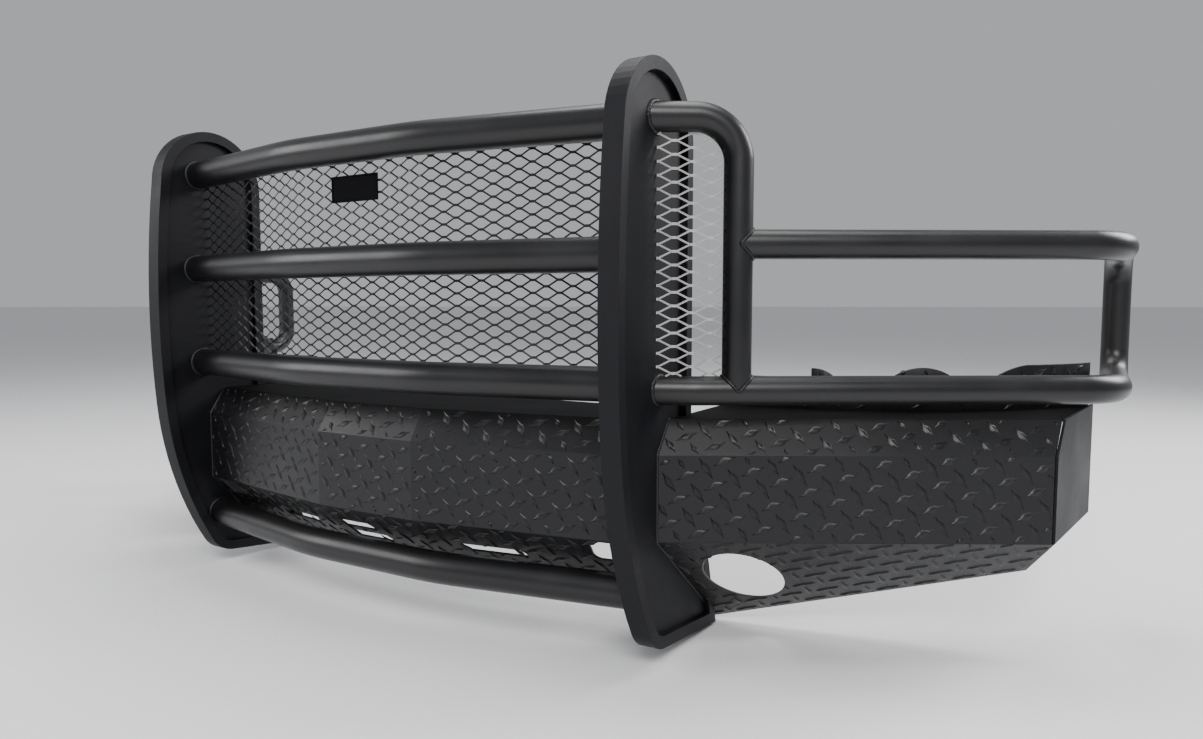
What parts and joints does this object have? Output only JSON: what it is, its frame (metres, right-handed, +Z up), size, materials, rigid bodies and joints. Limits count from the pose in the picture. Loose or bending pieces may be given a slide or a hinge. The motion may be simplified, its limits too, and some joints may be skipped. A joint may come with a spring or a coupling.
{
  "type": "front grille guard bumper",
  "caption": "Full-width truck front bumper with plate uprights, bowed cross tubes, expanded-metal grille, headlight guards and swept tread-plate wings.",
  "frame": {"origin": "centre of the four frame bolt slots, on the rear faces of the two bracket flanges", "axes": "X across the truck, -Y towards the front of the truck, +Z up"},
  "size_m": [2.1842, 0.7841, 0.8686],
  "materials": {
    "painted_steel": "semi-gloss black powder coat",
    "painted_tread": "semi-gloss black powder coat over raised-lozenge tread plate",
    "painted_mesh": "black powder coat over expanded metal",
    "name_plate": "gloss black with a bare border, left blank"
  },
  "bodies": {
    "root": {"left_upright_web": "painted_steel", "right_upright_web": "painted_steel", "left_upright_rim": "painted_steel", "right_upright_rim": "painted_steel", "top_cross_tube": "painted_steel", "middle_cross_tube": "painted_steel", "lower_cross_tube": "painted_steel", "bottom_cross_tube": "painted_steel", "middle_grille_mesh": "painted_mesh", "left_grille_mesh": "painted_mesh", "right_grille_mesh": "painted_mesh", "name_plate": "name_plate", "left_headlight_tube": "painted_steel", "right_headlight_tube": "painted_steel", "left_headlight_mesh": "painted_mesh", "right_headlight_mesh": "painted_mesh", "left_wing_upper_tube": "painted_steel", "right_wing_upper_tube": "painted_steel", "left_wing_end_tube": "painted_steel", "right_wing_end_tube": "painted_steel", "left_wing_lower_tube": "painted_steel", "right_wing_lower_tube": "painted_steel", "centre_face": "painted_tread", "centre_top_plate": "painted_steel", "centre_valance": "painted_tread", "left_wing_face": "painted_tread", "right_wing_face": "painted_tread", "left_wing_top_plate": "painted_steel", "right_wing_top_plate": "painted_steel", "left_wing_underside": "painted_tread", "right_wing_underside": "painted_tread", "left_wing_side_plate": "painted_steel", "right_wing_side_plate": "painted_steel", "left_fender_filler": "painted_tread", "right_fender_filler": "painted_tread", "left_bracket_arm": "painted_steel", "right_bracket_arm": "painted_steel", "left_bracket_flange": "painted_steel", "right_bracket_flange": "painted_steel", "left_bracket_gusset": "painted_steel", "right_bracket_gusset": "painted_steel"}
  },
  "joints": []
}
